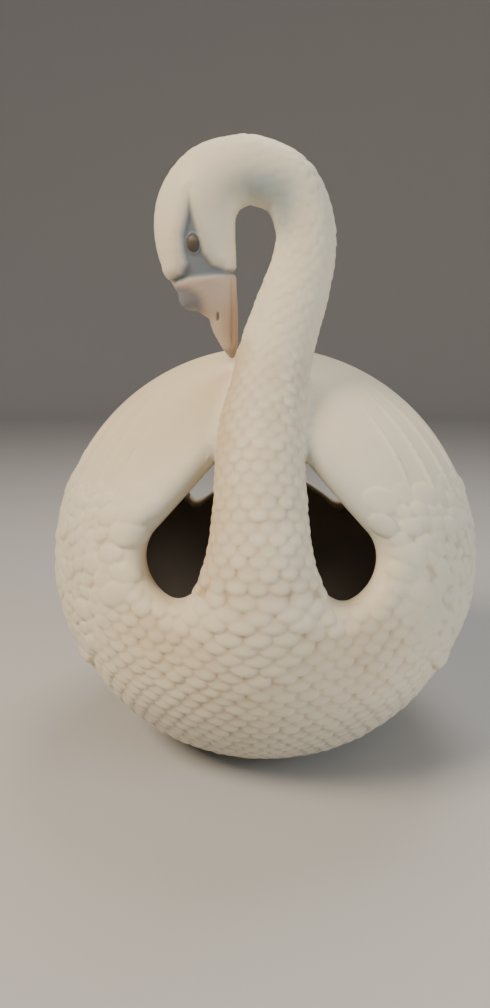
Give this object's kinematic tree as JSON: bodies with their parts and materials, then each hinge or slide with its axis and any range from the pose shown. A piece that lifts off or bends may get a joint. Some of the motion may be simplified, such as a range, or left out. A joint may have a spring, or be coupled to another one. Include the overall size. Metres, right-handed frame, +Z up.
{
  "type": "figural table lamp",
  "caption": "Hollow bisque porcelain swan lamp with an upright screw bulb inside, teardrop windows beside the neck and an open back.",
  "frame": {"origin": "centre of the felt pad's underside, on the lamp's socket axis", "axes": "+Z up along the socket axis, -Y the way the breast faces, +X to the right seen from the front (the head hangs over -X)"},
  "size_m": [0.22, 0.2381, 0.3013],
  "materials": {
    "bisque": "unglazed ivory bisque, airbrushed tints",
    "felt": "dark brown felt",
    "card": "pressed card",
    "rubber": "matt black",
    "zinc_steel": "zinc-plated steel",
    "brass": "aged brass",
    "fibre": "insulating fibre paper",
    "phenolic": "moulded dark brown phenolic",
    "solder": "tinned button",
    "black_glass": "black insulator glass",
    "aluminium": "rolled thread sleeve",
    "bulb_glass": "inside-frosted bulb",
    "clear_glass": "clear stem glass",
    "tungsten": "dull drawn wire"
  },
  "bodies": {
    "lamp": {"swan_foot": "bisque", "swan_body": "bisque", "left_wing": "bisque", "right_wing": "bisque", "neck_and_head": "bisque", "felt_pad": "felt", "base_card": "card", "cord_grommet": "rubber", "lamp_pipe": "zinc_steel", "lower_washer": "zinc_steel", "lower_nut": "zinc_steel", "upper_washer": "zinc_steel", "upper_nut": "zinc_steel", "socket_cap": "brass", "cap_bushing": "brass", "cap_set_screw": "zinc_steel", "socket_shell": "brass", "shell_liner": "fibre", "socket_core": "phenolic", "screw_shell": "brass", "centre_contact": "brass", "terminal_screw_a": "brass", "terminal_screw_b": "brass"},
    "bulb_lift": {"bulb_contact": "solder"},
    "bulb": {"bulb_insulator": "black_glass", "bulb_base": "aluminium", "bulb_glass": "bulb_glass", "bulb_stem": "clear_glass", "bulb_filament": "tungsten"},
    "switch": {"switch_stem": "brass", "switch_knob": "phenolic"}
  },
  "joints": [
    {"name": "bulb_rise", "type": "slide", "parent": "lamp", "child": "bulb_lift", "axis": [0, 0, 1], "range_m": [0, 0.0146]},
    {"name": "bulb_turn", "type": "hinge", "parent": "bulb_lift", "child": "bulb", "pos_m": [0, 0, 0.07], "axis": [0, 0, 1], "range_deg": [0, 1440]},
    {"name": "switch_turn", "type": "hinge", "parent": "lamp", "child": "switch", "pos_m": [0, 0.026, 0.0486], "axis": [0, 1, 0], "continuous": true}
  ],
  "couplings": [
    {"joint": "bulb_rise", "follows": "bulb_turn", "m_per_rad": 0.00057773}
  ]
}
